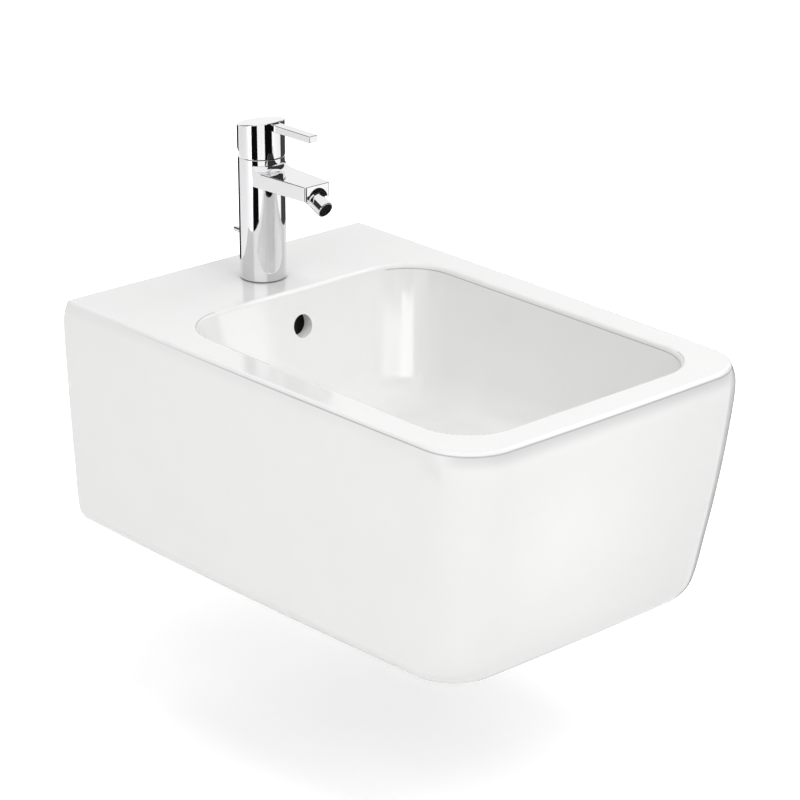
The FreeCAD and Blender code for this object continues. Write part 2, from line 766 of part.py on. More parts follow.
def handle():
    bottom = body_top + handle_gap
    slope = math.tan(math.radians(handle_slope))
    relief = math.tan(math.radians(handle_relief))
    past = handle_radius + 1
    profile = [(-past, bottom), (0, bottom), (past, bottom + past * relief),
               (past, handle_height - past * slope), (-past, handle_height + past * slope)]
    grip = upright(handle_radius, bottom, handle_height + past).common(side_prism(profile, past))
    rims = [e for e in grip.Edges if e.BoundBox.ZMax > handle_height and e.BoundBox.ZLength < past]
    grip = grip.makeFillet(handle_edge, rims)
    inside = handle_radius - handle_wall
    roof = handle_height - handle_roof
    grip = grip.cut(upright(inside, bottom - 1, roof))
    grip = grip.fuse(upright(hub_radius, hub_bottom, roof + 1))
    lever = box((-lever_width / 2, -lever_reach, lever_top - lever_height),
                (lever_width / 2, -inside, lever_top))
    edges = [e for e in lever.Edges if e.BoundBox.YMin < -inside - 1]
    grip = grip.fuse(lever.makeFillet(lever_edge, edges))
    socket = stem_width / 2 + seat_gap
    grip = grip.cut(box((-socket, -socket, bottom - 1), (socket, socket, stem_top + seat_gap)))
    grip = grip.cut(rod(screw_radius + seat_gap, (0, 0, screw_height), (0, hub_radius + 1, screw_height)))
    return grip.cut(rod(plug_radius, (0, hub_radius, screw_height), (0, past, screw_height)))


def handle_fixing():
    screw = rod(screw_radius, (0, stem_width / 2, screw_height), (0, hub_radius, screw_height))
    key = hexagon(screw_radius, 0, screw_radius)
    key = along(key, (0, hub_radius - screw_radius, screw_height), (0, 1, 0))
    save("handle_screw", tap(screw.cut(key)))
    plug = rod(plug_radius - seat_gap, (0, handle_radius - plug_thickness, screw_height),
               (0, handle_radius + 1, screw_height))
    save("handle_plug", tap(plug.common(upright(handle_radius, 0, handle_height))))


# Swivel nozzle, built along Z from the middle of the ball

def nozzle_pieces():
    room = ball_radius + free_gap
    retainer = ring(socket_radius - seat_gap, neck_radius, retainer_start, retainer_end)
    retainer = tap(along(retainer.cut(Part.makeSphere(room)), ball_centre, nozzle_dir))
    save("nozzle_retainer", retainer.common(tap(spout_plan(spout_bottom, spout_top))))

    seat = upright(nozzle_seat_radius, -nozzle_seat_end, -nozzle_seat_end + nozzle_seat_length)
    seat = seat.cut(Part.makeSphere(ball_radius + run_gap)).cut(upright(ball_bore, -ball_radius * 2, 0))
    save("nozzle_seat", nozzle(seat))

    neck_top = sleeve_start + sleeve_floor
    ball = Part.makeSphere(ball_radius)
    front = math.sqrt(ball_radius ** 2 - (neck_radius + 1) ** 2)
    ball = ball.cut(upright(ball_radius, front, 2 * ball_radius))
    ball = ball.fuse(upright(neck_radius, 0, neck_top))
    ball = ball.cut(upright(ball_bore, -2 * ball_radius, neck_top + 1))
    save("nozzle_ball", nozzle(ball))

    inside = sleeve_radius - sleeve_shell
    edge = 0.5
    sleeve = turned([(neck_radius + seat_gap, sleeve_start), (sleeve_radius - edge, sleeve_start),
                     (sleeve_radius, sleeve_start + edge), (sleeve_radius, sleeve_end - edge),
                     (sleeve_radius - edge, sleeve_end), (inside, sleeve_end), (inside, neck_top),
                     (neck_radius + seat_gap, neck_top)])
    save("nozzle_sleeve", nozzle(sleeve))

    insert_end = sleeve_end - aerator_recess
    insert_start = insert_end - aerator_length
    insert = upright(inside - seat_gap, insert_start, insert_end)
    insert = insert.cut(upright(inside - 2, insert_start - 1, insert_end - 2))
    spots = [(0.0, 1), (inside * 0.33, 6), (inside * 0.66, 12)]
    for radius, count in spots:
        for i in range(count):
            turn = 2 * math.pi * i / count
            insert = insert.cut(upright(aerator_hole, insert_start, insert_end + 1,
                                        radius * math.cos(turn), radius * math.sin(turn)))
    save("aerator", nozzle(insert))
    save("aerator_seal", nozzle(ring(inside - seat_gap, ball_bore, neck_top, insert_start)))


# Lift rod and knob

clamp_z = -drain_seat - pivot_drop - lift_travel / 2


def lift_pieces():
    head_low = knob_height - rod_head_height / 2
    shaft = upright(rod_radius, clamp_z + clamp_below - 1, head_low, 0, rod_y)
    head = upright(rod_head_radius, head_low, head_low + rod_head_height, 0, rod_y)
    thread = rod(knob_thread + seat_gap, (0, rod_y, knob_height),
                 (0, rod_y + rod_head_radius + 1, knob_height))
    save("lift_rod", tap(shaft.fuse(head).cut(thread)))

    knob_start = rod_y + rod_head_radius
    knob = Part.makeCone(knob_root_radius, knob_tip_radius, knob_tip_y - knob_start,
                         V(0, knob_start, knob_height), Y_AXIS)
    rims = [e for e in knob.Edges if e.BoundBox.YMin > knob_tip_y - 0.01]
    knob = knob.makeFillet(lever_edge, rims)
    flat = rod(knob_root_radius, (0, knob_start, knob_height), (0, knob_start + 1, knob_height))
    knob = knob.cut(flat.common(upright(rod_head_radius, head_low, head_low + rod_head_height, 0, rod_y)))
    knob = knob.fuse(rod(knob_thread, (0, rod_y + 1, knob_height), (0, knob_start + 1, knob_height)))
    save("lift_knob", tap(knob))

    bush = ring(rod_head_radius + free_gap - seat_gap, rod_radius + free_gap, base_gap,
                base_gap + guide_height, 0, rod_y)
    save("rod_guide", tap(bush))

    block = upright(clamp_radius, clamp_z - clamp_below, clamp_z + clamp_above, 0, rod_y)
    block = block.cut(upright(rod_radius + seat_gap, clamp_z + clamp_below - 1, clamp_z + clamp_above + 1,
                              0, rod_y))
    eye = rod_radius + 2 * free_gap + clamp_radius * math.tan(math.radians(pivot_swing))
    block = block.cut(rod(eye, (0, rod_y - clamp_radius - 1, clamp_z),
                          (0, rod_y + clamp_radius + 1, clamp_z)))
    screw_z = clamp_z + (clamp_below + clamp_above) / 2
    hole = rod(clamp_screw + seat_gap, (rod_radius, rod_y, screw_z), (clamp_radius + 1, rod_y, screw_z))
    save("rod_clamp", tap(block.cut(hole)))
    screw = rod(clamp_screw, (rod_radius, rod_y, screw_z), (clamp_radius + 1, rod_y, screw_z))
    head = rod(2 * clamp_screw, (clamp_radius, rod_y, screw_z), (clamp_radius + 2.5, rod_y, screw_z))
    save("clamp_screw", tap(screw.fuse(head)))


# Waste

gasket_top = -boss_length
washer_top = gasket_top - gasket_height
lock_top = washer_top - slip_washer_height
waste_top = lock_top - lock_nut_height - waste_top_gap
waste_bottom = -pivot_drop - waste_below
tail_top = waste_bottom + tail_socket


def waste_pieces():
    save("drain_seal", waste(ring(drain_flange_radius, drain_tube + seat_gap, 0, drain_seal)))
    inner = drain_tube - drain_tube_wall
    top = drain_seal + drain_flange_height
    flange_ring = turned([(inner, top - drain_cone), (drain_mouth, top), (drain_flange_radius - 1, top),
                          (drain_flange_radius, top - 1), (drain_flange_radius, drain_seal),
                          (drain_tube, drain_seal), (drain_tube, waste_top - waste_socket),
                          (inner, waste_top - waste_socket)])
    slot_top = -bowl_shell
    slot = box((-overflow_slot_width / 2, -drain_tube - 1, slot_top - channel_gap),
               (overflow_slot_width / 2, drain_tube + 1, slot_top))
    save("drain_flange", waste(flange_ring.cut(slot)))

    bore = drain_tube + seat_gap
    save("boss_gasket", waste(ring(gasket_radius, bore, washer_top, gasket_top)))
    save("slip_washer", waste(ring(gasket_radius, bore, lock_top, washer_top)))
    save("lock_nut", waste(hex_nut(lock_nut_across, bore, lock_top - lock_nut_height, lock_top)))

    taper_top = waste_top - waste_socket - waste_floor
    body = turned([(bore, waste_top), (waste_outer, waste_top), (waste_outer, taper_top),
                   (waste_tube, taper_top - waste_taper), (waste_tube, waste_bottom),
                   (spigot_radius + seat_gap, waste_bottom),
                   (spigot_radius + seat_gap, tail_top + tail_seal_height),
                   (tail_radius - tail_wall, tail_top + tail_seal_height), (waste_bore, tail_top + tail_funnel),
                   (waste_bore, waste_top - waste_socket), (bore, waste_top - waste_socket)])
    port_end = pivot_arm + port_length
    port = rod(port_radius, (0, waste_bore, -pivot_drop), (0, port_end, -pivot_drop))
    shoulder = pivot_arm - port_length
    body = body.fuse(port.cut(upright(waste_bore, waste_bottom, waste_top)))
    body = body.cut(rod(port_bore, (0, shoulder, -pivot_drop), (0, port_end + 1, -pivot_drop)))
    body = body.cut(rod(rod_room, (0, 0, -pivot_drop), (0, shoulder + 1, -pivot_drop)))
    save("waste_body", waste(body))

    ball_room = Part.makeSphere(pivot_ball + free_gap, V(0, pivot_arm, -pivot_drop))
    seals = []
    for start, end in ((shoulder, pivot_arm - 1), (pivot_arm + 1, port_end)):
        seal = rod(port_bore - seat_gap, (0, start, -pivot_drop), (0, end, -pivot_drop))
        seal = seal.cut(rod(rod_room, (0, start - 1, -pivot_drop), (0, end + 1, -pivot_drop))).cut(ball_room)
        seals.append(waste(seal))
    save("pivot_seals", *seals)

    nut = hex_nut(pivot_nut_across, port_radius + seat_gap, 0, pivot_nut_height)
    cap = upright(port_radius + 1, pivot_nut_height - pivot_nut_cap, pivot_nut_height)
    nut = nut.fuse(cap.cut(upright(rod_room, 0, pivot_nut_height + 1)))
    nut_start = port_end - pivot_nut_height + pivot_nut_cap
    save("pivot_nut", waste(along(nut, (0, nut_start, -pivot_drop), (0, 1, 0))))

    slope = math.tan(math.radians(pivot_swing))
    tip = (0, -pivot_tip, -pivot_drop + (pivot_arm + pivot_tip) * slope)
    tail = (0, pivot_arm + pivot_reach + pivot_tail, -pivot_drop - (pivot_reach + pivot_tail) * slope)
    arm = rod(rod_radius, tip, tail).fuse(Part.makeSphere(pivot_ball, V(0, pivot_arm, -pivot_drop)))
    save("pivot_rod", waste(arm))

    tail_bore = tail_radius - tail_wall
    save("tail_seal", waste(ring(spigot_radius, tail_bore, tail_top, tail_top + tail_seal_height)))
    tail_bottom = waste_bottom - tail_length
    shoulder = waste_bottom - spigot_neck
    tail = turned([(tail_bore, tail_bottom), (tail_radius, tail_bottom), (tail_radius, shoulder),
                   (spigot_radius, shoulder), (spigot_radius, tail_top), (tail_bore, tail_top)])
    save("waste_tail", waste(tail))


def plug_pieces():
    bottom = drain_seal + drain_flange_height + plug_rest_gap + plug_travel
    edge = bottom + plug_cap_edge
    top = edge + plug_cap_crown
    sphere = (plug_cap_radius ** 2 + plug_cap_crown ** 2) / (2 * plug_cap_crown)
    cap = upright(plug_cap_radius, bottom, top).common(Part.makeSphere(sphere, V(0, 0, top - sphere)))
    rims = [e for e in cap.Edges if e.BoundBox.ZMin > bottom + 0.1 and e.BoundBox.ZLength < 0.01]
    cap = cap.makeFillet(plug_cap_edge / 2, rims)
    save("plug_cap", waste(cap))

    seal_low = bottom - plug_seal_height
    seal = turned([(stem_radius + seat_gap, seal_low), (plug_seal_radius - 1, seal_low),
                   (plug_seal_radius, bottom), (stem_radius + seat_gap, bottom)])
    save("plug_seal", waste(seal))

    eye_z = -pivot_drop + plug_travel / 2
    lug_top = eye_z + lug_below
    shaft = upright(stem_radius, lug_top - 1, bottom)
    shaft = shaft.fuse(box((-lug_half, -lug_half, eye_z - lug_below), (lug_half, lug_half, lug_top)))
    fins_top = bottom - fin_top
    for reach, thick in ((fin_reach, fin_thickness / 2), (fin_thickness / 2, fin_reach)):
        shaft = shaft.fuse(box((-reach, -thick, fins_top - fin_height), (reach, thick, fins_top)))
    eye = rod_radius + free_gap + lug_half * math.tan(math.radians(pivot_swing))
    shaft = shaft.cut(rod(eye, (0, -lug_half - 1, eye_z), (0, lug_half + 1, eye_z)))
    save("plug_stem", waste(shaft))


def main():
    os.makedirs("parts", exist_ok=True)
    save("ceramic_body", ceramic_body())
    wall_fixing()
    save("mixer_body", tap(mixer_body()))
    tap_fixing()
    cartridge()
    save("stem", tap(stem()))
    save("handle", tap(handle()))
    handle_fixing()
    nozzle_pieces()
    lift_pieces()
    waste_pieces()
    plug_pieces()


main()
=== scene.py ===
import bpy
import json
import math
from mathutils import Matrix, Vector


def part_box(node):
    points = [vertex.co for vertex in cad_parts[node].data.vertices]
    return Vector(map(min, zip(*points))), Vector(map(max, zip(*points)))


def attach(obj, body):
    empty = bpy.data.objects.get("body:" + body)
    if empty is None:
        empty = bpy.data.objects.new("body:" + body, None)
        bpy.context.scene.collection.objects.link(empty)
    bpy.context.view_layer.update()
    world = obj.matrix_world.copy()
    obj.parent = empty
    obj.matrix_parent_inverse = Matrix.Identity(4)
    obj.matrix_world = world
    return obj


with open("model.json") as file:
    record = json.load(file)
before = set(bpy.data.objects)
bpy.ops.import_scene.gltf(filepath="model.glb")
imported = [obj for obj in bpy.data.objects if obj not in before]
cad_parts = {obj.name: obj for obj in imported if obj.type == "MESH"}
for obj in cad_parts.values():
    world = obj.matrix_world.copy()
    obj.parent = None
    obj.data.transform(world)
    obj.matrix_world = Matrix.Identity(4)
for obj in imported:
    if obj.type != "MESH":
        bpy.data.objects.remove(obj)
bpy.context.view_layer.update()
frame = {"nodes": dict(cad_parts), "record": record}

# Camera, read from the photograph
image_size = 800
focal_pixels = 2800.0
sensor_mm = 36.0
view_azimuth = math.radians(-41.76)
view_elevation = math.radians(21.36)
view_across = 0.17472       # the view's centre, right of and below the rear of the rim's middle
view_up = -0.13627
view_distance = 2.709
far_clip = 50.0

# Places on the object
rim_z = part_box("ceramic_body")[1].z
object_middle = Vector((0.0, -0.27, 0.0))
basin_corner = Vector((0.094, -0.168, 0.0))     # middle of the rear right corner's round
tap_low, tap_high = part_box("cover_ring")
tap_axis = (tap_low + tap_high) / 2

# Floor
rim_above_floor = 0.400     # the usual height of a wall-hung bidet's rim
floor_z = rim_z - rim_above_floor
floor_size = 12.0
floor_lift = 0.37           # what the camera sees of the floor beyond its lit colour
mirror_lift = 0.20          # what reflections see of the floor beyond its lit colour
shadow_reach = 0.6          # the floor turns white from here outwards
white_reach = 3 * shadow_reach
card_gap = 0.003            # between the floor and a card on it

# Light
ambient_level = 0.488
background_white = 1.0
white = (1, 1, 1, 1)
canopy_radius = 2.5
watts_per_level = 4.0       # for each square metre of an area lamp with a brightness of 1

# Tints: colours
painted_edge_shade = (0.45, 0.45, 0.45)     # painted shade, a dark line along the edges
shaded_glaze = (0.64, 0.64, 0.64)   # painted shade below the front edge
bare_body = (0.72, 0.70, 0.66)      # unglazed face against the wall
painted_channel_shade = (0.08, 0.08, 0.08)   # painted shade inside the overflow channel
painted_foot_shadow = (0.04, 0.04, 0.045)     # painted shadow where the tap's foot meets the deck

# Tints: places, with depths below the rim's top
crisp, soft_ends, soft_shade = (0.0002,) * 3, (0.005,) * 3, (0.02,) * 3
lip_low, lip_high = (-0.151, -0.508, -1), (0.151, -0.105, 1)    # box round the bowl's mouth
lip_left, lip_front, lip_right = -0.10, -0.47, 0.11             # where the lip's lines begin and end
near_lip_depth, near_lip_line = 0.0004, 0.0003
right_lip_depth, right_lip_line = 0.0046, 0.0008
rim_front = -0.520                  # the front edge's line and shade lie before this
edge_depth, edge_line = 0.0030, 0.0009
shade_depth, shade_below, shade_above = 0.0026, 0.014, 0.0008
side_end, side_fade = -0.34, 0.30   # the side edges' lines fade out towards the rear
wall_skin = 0.0008                  # depth of the bare face
whole_height = 1.0                  # a fade so wide that the line takes in the whole piece
channel_low, channel_high = (-0.0225, -0.1135, -0.1), (0.0225, -0.09, rim_z - 0.012)
foot_height, foot_below, foot_above, foot_margin = 0.0004, 0.001, 0.0016, 0.01


def group_tree(name, inputs, outputs):
    """An empty shader node group with named inputs and outputs."""
    tree = bpy.data.node_groups.new(name, "ShaderNodeTree")
    for label, kind, value in inputs:
        socket = tree.interface.new_socket(label, in_out="INPUT", socket_type=kind)
        socket.default_value = value
    for label, kind in outputs:
        tree.interface.new_socket(label, in_out="OUTPUT", socket_type=kind)
    return tree, tree.nodes.new("NodeGroupInput"), tree.nodes.new("NodeGroupOutput")


def math_node(tree, operation, *values):
    """The output of a Math node on sockets or plain numbers."""
    node = tree.nodes.new("ShaderNodeMath")
    node.operation = operation
    for slot, value in enumerate(values):
        if isinstance(value, float):
            node.inputs[slot].default_value = value
        else:
            tree.links.new(value, node.inputs[slot])
    return node.outputs[0]


def mottle_group():
    """Slow changes of colour and roughness, and a height, over a surface."""
    inputs = [("Scale", "NodeSocketFloat", 40.0), ("Colour A", "NodeSocketColor", (0.8, 0.8, 0.8, 1)),
              ("Colour B", "NodeSocketColor", (0.7, 0.7, 0.7, 1)), ("Roughness A", "NodeSocketFloat", 0.2),
              ("Roughness B", "NodeSocketFloat", 0.3), ("Stretch", "NodeSocketVector", (1, 1, 1))]
    outputs = [("Colour", "NodeSocketColor"), ("Roughness", "NodeSocketFloat"), ("Height", "NodeSocketFloat")]
    tree, enter, leave = group_tree("surface mottle", inputs, outputs)
    place = tree.nodes.new("ShaderNodeTexCoord")
    stretch = tree.nodes.new("ShaderNodeMapping")
    noise = tree.nodes.new("ShaderNodeTexNoise")
    noise.inputs["Detail"].default_value = 4.0
    colour = tree.nodes.new("ShaderNodeMix")
    colour.data_type = "RGBA"
    rough = tree.nodes.new("ShaderNodeMapRange")
    link = tree.links.new
    link(place.outputs["Object"], stretch.inputs["Vector"])
    link(enter.outputs["Stretch"], stretch.inputs["Scale"])
    link(stretch.outputs["Vector"], noise.inputs["Vector"])
    link(enter.outputs["Scale"], noise.inputs["Scale"])
    link(noise.outputs["Fac"], colour.inputs["Factor"])
    link(enter.outputs["Colour A"], colour.inputs["A"])
    link(enter.outputs["Colour B"], colour.inputs["B"])
    link(noise.outputs["Fac"], rough.inputs["Value"])
    link(enter.outputs["Roughness A"], rough.inputs["To Min"])
    link(enter.outputs["Roughness B"], rough.inputs["To Max"])
    link(colour.outputs["Result"], leave.inputs["Colour"])
    link(rough.outputs["Result"], leave.inputs["Roughness"])
    link(noise.outputs["Fac"], leave.inputs["Height"])
    return tree


surface_mottle = mottle_group()


def finish(name, colours, roughness, scale, bump, bump_mm, metallic=0.0, ior=1.5, stretch=(1, 1, 1)):
    """A material whose colour, roughness and fine relief change over the surface."""
    material = bpy.data.materials.new(name)
    material.use_nodes = True
    nodes, link = material.node_tree.nodes, material.node_tree.links.new
    shader = nodes["Principled BSDF"]
    shader.inputs["Metallic"].default_value = metallic
    shader.inputs["IOR"].default_value = ior
    mottle = nodes.new("ShaderNodeGroup")
    mottle.node_tree = surface_mottle
    mottle.inputs["Scale"].default_value = scale
    mottle.inputs["Colour A"].default_value = (*colours[0], 1)
    mottle.inputs["Colour B"].default_value = (*colours[1], 1)
    mottle.inputs["Roughness A"].default_value = roughness[0]
    mottle.inputs["Roughness B"].default_value = roughness[1]
    mottle.inputs["Stretch"].default_value = stretch
    relief = nodes.new("ShaderNodeBump")
    relief.inputs["Strength"].default_value = bump
    relief.inputs["Distance"].default_value = bump_mm / 1000
    link(mottle.outputs["Colour"], shader.inputs["Base Color"])
    link(mottle.outputs["Roughness"], shader.inputs["Roughness"])
    link(mottle.outputs["Height"], relief.inputs["Height"])
    link(relief.outputs["Normal"], shader.inputs["Normal"])
    return material


def level_line_group():
    """A mask that is 1 along a level line on a piece, and fades out below and above it, inside a soft box."""
    inputs = [("Height", "NodeSocketFloat", 0.0), ("Fade Below", "NodeSocketFloat", 0.001),
              ("Fade Above", "NodeSocketFloat", 0.001), ("Low Corner", "NodeSocketVector", (-1, -1, -1)),
              ("High Corner", "NodeSocketVector", (1, 1, 1)), ("Soft", "NodeSocketVector", crisp)]
    tree, enter, leave = group_tree("level line", inputs, [("Mask", "NodeSocketFloat")])
    link = tree.links.new

    def split(vector):
        """The three outputs of a vector."""
        node = tree.nodes.new("ShaderNodeSeparateXYZ")
        link(vector, node.inputs[0])
        return node.outputs

    def fade(start, end, reach):
        """1 where end is behind start, falling to 0 where it is a reach beyond it."""
        ease = tree.nodes.new("ShaderNodeMapRange")
        ease.interpolation_type = "SMOOTHSTEP"
        ease.inputs["To Min"].default_value = 1.0
        ease.inputs["To Max"].default_value = 0.0
        beyond = math_node(tree, "SUBTRACT", end, start)
        link(math_node(tree, "DIVIDE", beyond, reach), ease.inputs["Value"])
        return ease.outputs["Result"]

    here = split(tree.nodes.new("ShaderNodeTexCoord").outputs["Object"])
    level, height = here["Z"], enter.outputs["Height"]
    mask = math_node(tree, "MULTIPLY", fade(height, level, enter.outputs["Fade Above"]),
                     fade(level, height, enter.outputs["Fade Below"]))
    low, high, soft = [split(enter.outputs[label]) for label in ("Low Corner", "High Corner", "Soft")]
    for axis in "XYZ":
        mask = math_node(tree, "MULTIPLY", mask, fade(here[axis], low[axis], soft[axis]))
        mask = math_node(tree, "MULTIPLY", mask, fade(high[axis], here[axis], soft[axis]))
    link(mask, leave.inputs["Mask"])
    return tree


level_line = level_line_group()


def add_tint(material, tint, height, below, above, low=(-1, -1, -1), high=(1, 1, 1), soft=crisp):
    """Tints a material's colour where a level line's mask says so."""
    nodes, link = material.node_tree.nodes, material.node_tree.links.new
    shader = nodes["Principled BSDF"]
    line = nodes.new("ShaderNodeGroup")
    line.node_tree = level_line
    line.inputs["Height"].default_value = height
    line.inputs["Fade Below"].default_value = below
    line.inputs["Fade Above"].default_value = above
    line.inputs["Low Corner"].default_value = low
    line.inputs["High Corner"].default_value = high
    line.inputs["Soft"].default_value = soft
    colour = nodes.new("ShaderNodeMix")
    colour.data_type = "RGBA"
    colour.inputs["B"].default_value = (*tint, 1)
    link(line.outputs["Mask"], colour.inputs["Factor"])
    link(shader.inputs["Base Color"].links[0].from_socket, colour.inputs["A"])
    link(colour.outputs["Result"], shader.inputs["Base Color"])


# Materials by the record's slots
finishes = {
    "glaze": finish(
        "white glaze", [(0.80, 0.80, 0.795), (0.825, 0.825, 0.82)],
        roughness=(0.10, 0.14), scale=18, bump=0.04, bump_mm=0.4, ior=1.52),
    "chrome": finish(
        "polished chrome", [(0.82, 0.82, 0.83), (0.86, 0.86, 0.87)],
        roughness=(0.02, 0.05), scale=300, bump=0.02, bump_mm=0.02, metallic=1.0),
    "brass": finish(
        "machined brass", [(0.62, 0.44, 0.17), (0.72, 0.53, 0.24)],
        roughness=(0.22, 0.36), scale=160, bump=0.15, bump_mm=0.06, metallic=1.0, stretch=(1, 1, 12)),
    "steel": finish(
        "satin steel", [(0.50, 0.50, 0.51), (0.62, 0.62, 0.63)],
        roughness=(0.25, 0.4), scale=260, bump=0.12, bump_mm=0.05, metallic=1.0, stretch=(1, 8, 1)),
    "rubber": finish(
        "seal rubber", [(0.018, 0.018, 0.019), (0.035, 0.035, 0.036)],
        roughness=(0.6, 0.8), scale=350, bump=0.3, bump_mm=0.08),
    "white_plastic": finish(
        "moulded white plastic", [(0.68, 0.68, 0.66), (0.75, 0.75, 0.73)],
        roughness=(0.35, 0.5), scale=220, bump=0.15, bump_mm=0.06),
    "black_plastic": finish(
        "moulded black plastic", [(0.003, 0.003, 0.004), (0.008, 0.008, 0.009)],
        roughness=(0.5, 0.7), scale=260, bump=0.15, bump_mm=0.05, ior=1.2),
    "grey_plastic": finish(
        "moulded grey plastic", [(0.25, 0.25, 0.26), (0.31, 0.31, 0.32)],
        roughness=(0.2, 0.32), scale=240, bump=0.1, bump_mm=0.04),
    "disc": finish(
        "lapped disc", [(0.75, 0.72, 0.66), (0.80, 0.77, 0.71)],
        roughness=(0.1, 0.2), scale=120, bump=0.05, bump_mm=0.02),
}
glaze = finishes["glaze"]

# Painted shade lines along the bowl's lip: left, front and right
add_tint(glaze, painted_edge_shade, rim_z - near_lip_depth, near_lip_line, near_lip_line,
         lip_low, (lip_left, *lip_high[1:]), soft_ends)
add_tint(glaze, painted_edge_shade, rim_z - near_lip_depth, near_lip_line, near_lip_line,
         (lip_left, *lip_low[1:]), (lip_high[0], lip_front, lip_high[2]))
add_tint(glaze, painted_edge_shade, rim_z - right_lip_depth, right_lip_line, right_lip_line,
         (lip_right, *lip_low[1:]), lip_high, soft_ends)

# Painted shade and a painted dark shade line along the rim's outer edge: front, then both sides
add_tint(glaze, shaded_glaze, rim_z - shade_depth, shade_below, shade_above,
         high=(1, rim_front, 1), soft=soft_shade)
add_tint(glaze, painted_edge_shade, rim_z - edge_depth, edge_line, edge_line, high=(1, rim_front, 1))
for low_x, high_x in ((-1, lip_low[0]), (lip_high[0], 1)):
    add_tint(glaze, painted_edge_shade, rim_z - edge_depth, edge_line, edge_line,
             (low_x, rim_front, -1), (high_x, side_end, 1), (crisp[0], side_fade, crisp[2]))

# Bare rear face, painted shade inside the overflow channel, and a painted shadow line round the tap's foot
add_tint(glaze, bare_body, 0.0, whole_height, whole_height, low=(-1, -wall_skin, -1))
add_tint(glaze, painted_channel_shade, 0.0, whole_height, whole_height, channel_low, channel_high)
# a painted contact shadow on the chrome, just above the deck
add_tint(finishes["chrome"], painted_foot_shadow, rim_z + foot_height, foot_below, foot_above,
         (tap_low.x - foot_margin, tap_low.y - foot_margin, -1),
         (tap_high.x + foot_margin, tap_high.y + foot_margin, 1))

for part in frame["record"]["subparts"]:
    node = frame["nodes"][part["node"]]
    node.data.materials.clear()
    node.data.materials.append(finishes[part["material_slot"]])


def form_tree(name, inputs):
    """An empty Geometry Nodes tree with named inputs, and the two nodes that close it with a material."""
    tree = bpy.data.node_groups.new(name, "GeometryNodeTree")
    for label, kind in inputs:
        tree.interface.new_socket(label, in_out="INPUT", socket_type=kind)
    tree.interface.new_socket("Geometry", in_out="OUTPUT", socket_type="NodeSocketGeometry")
    enter, leave = tree.nodes.new("NodeGroupInput"), tree.nodes.new("NodeGroupOutput")
    real = tree.nodes.new("GeometryNodeRealizeInstances")
    dress = tree.nodes.new("GeometryNodeSetMaterial")
    tree.links.new(real.outputs["Geometry"], dress.inputs["Geometry"])
    tree.links.new(enter.outputs["Material"], dress.inputs["Material"])
    tree.links.new(dress.outputs["Geometry"], leave.inputs["Geometry"])
    return tree, enter, real


def thread_tree():
    """A screw thread: a three-sided ridge along a helix, standing on a foot."""
    tree, enter, real = form_tree("screw thread", [
        ("Radius", "NodeSocketFloat"), ("Length", "NodeSocketFloat"), ("Turns", "NodeSocketFloat"),
        ("Ridge", "NodeSocketFloat"), ("Foot", "NodeSocketVector"), ("Material", "NodeSocketMaterial")])
    helix = tree.nodes.new("GeometryNodeCurveSpiral")
    helix.inputs["Resolution"].default_value = 24
    ridge = tree.nodes.new("GeometryNodeCurvePrimitiveCircle")
    ridge.inputs["Resolution"].default_value = 3
    swept = tree.nodes.new("GeometryNodeCurveToMesh")
    swept.inputs["Fill Caps"].default_value = True
    put = tree.nodes.new("GeometryNodeTransform")
    link = tree.links.new
    link(enter.outputs["Radius"], helix.inputs["Start Radius"])
    link(enter.outputs["Radius"], helix.inputs["End Radius"])
    link(enter.outputs["Length"], helix.inputs["Height"])
    link(enter.outputs["Turns"], helix.inputs["Rotations"])
    link(enter.outputs["Ridge"], ridge.inputs["Radius"])
    link(helix.outputs["Curve"], swept.inputs["Curve"])
    link(ridge.outputs["Curve"], swept.inputs["Profile Curve"])
    link(swept.outputs["Mesh"], put.inputs["Geometry"])
    link(enter.outputs["Foot"], put.inputs["Translation"])
    link(put.outputs["Geometry"], real.inputs["Geometry"])
    return tree


def grip_tree():
    """Grip ribs: small bars side by side round a head, along its axis."""
    tree, enter, real = form_tree("grip ribs", [
        ("Radius", "NodeSocketFloat"), ("Length", "NodeSocketFloat"), ("Count", "NodeSocketInt"),
        ("Rib", "NodeSocketFloat"), ("Middle", "NodeSocketVector"), ("Turn", "NodeSocketRotation"),
        ("Material", "NodeSocketMaterial")])
    ring = tree.nodes.new("GeometryNodeMeshCircle")
    bar = tree.nodes.new("GeometryNodeMeshCylinder")
    bar.inputs["Vertices"].default_value = 8
    spread = tree.nodes.new("GeometryNodeInstanceOnPoints")
    put = tree.nodes.new("GeometryNodeTransform")
    link = tree.links.new
    link(enter.outputs["Count"], ring.inputs["Vertices"])
    link(enter.outputs["Radius"], ring.inputs["Radius"])
    link(enter.outputs["Rib"], bar.inputs["Radius"])
    link(enter.outputs["Length"], bar.inputs["Depth"])
    link(ring.outputs["Mesh"], spread.inputs["Points"])
    link(bar.outputs["Mesh"], spread.inputs["Instance"])
    link(spread.outputs["Instances"], put.inputs["Geometry"])
    link(enter.outputs["Turn"], put.inputs["Rotation"])
    link(enter.outputs["Middle"], put.inputs["Translation"])
    link(put.outputs["Geometry"], real.inputs["Geometry"])
    return tree


def grown(name, tree, values, body, slot):
    """A plain mesh from a tree and its named values, riding on a body."""
    piece = bpy.data.objects.new(name, bpy.data.meshes.new(name))
    bpy.context.scene.collection.objects.link(piece)
    growth = piece.modifiers.new(name, "NODES")
    growth.node_group = tree
    sockets = {item.name: item.identifier for item in tree.interface.items_tree if item.in_out == "INPUT"}
    for label, value in values.items():
        growth[sockets[label]] = value
    growth[sockets["Material"]] = finishes[slot]
    graph = bpy.context.evaluated_depsgraph_get()
    mesh = bpy.data.meshes.new_from_object(piece.evaluated_get(graph), depsgraph=graph)
    piece.modifiers.remove(growth)
    piece.data = mesh
    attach(piece, body)


